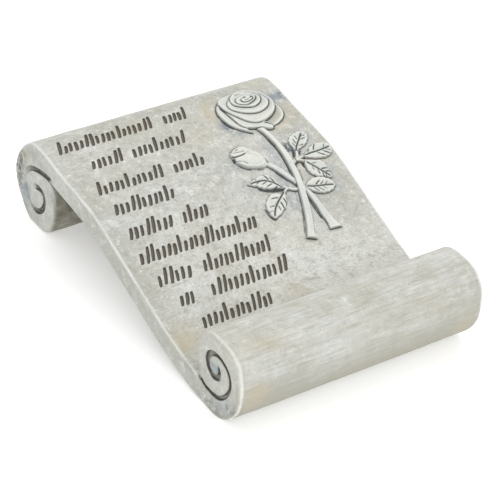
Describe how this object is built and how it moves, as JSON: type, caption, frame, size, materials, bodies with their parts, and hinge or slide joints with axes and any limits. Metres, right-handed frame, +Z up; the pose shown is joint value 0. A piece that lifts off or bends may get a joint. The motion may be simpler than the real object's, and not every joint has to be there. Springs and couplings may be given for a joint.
{
  "type": "scroll grave ornament",
  "caption": "Cast stone grave ornament: a sloping scroll with a roll at each end, a rose spray in low relief and shallow strokes in rows.",
  "frame": {"origin": "on the ground, in the middle of the whole piece", "axes": "+Z up, +Y from the low front roll to the tall back roll, +X to the reader's right across the sheet"},
  "size_m": [0.14, 0.2012, 0.0482],
  "materials": {
    "cast_stone": "matt, washed"
  },
  "bodies": {
    "root": {"scroll_ornament": "cast_stone"}
  },
  "joints": []
}
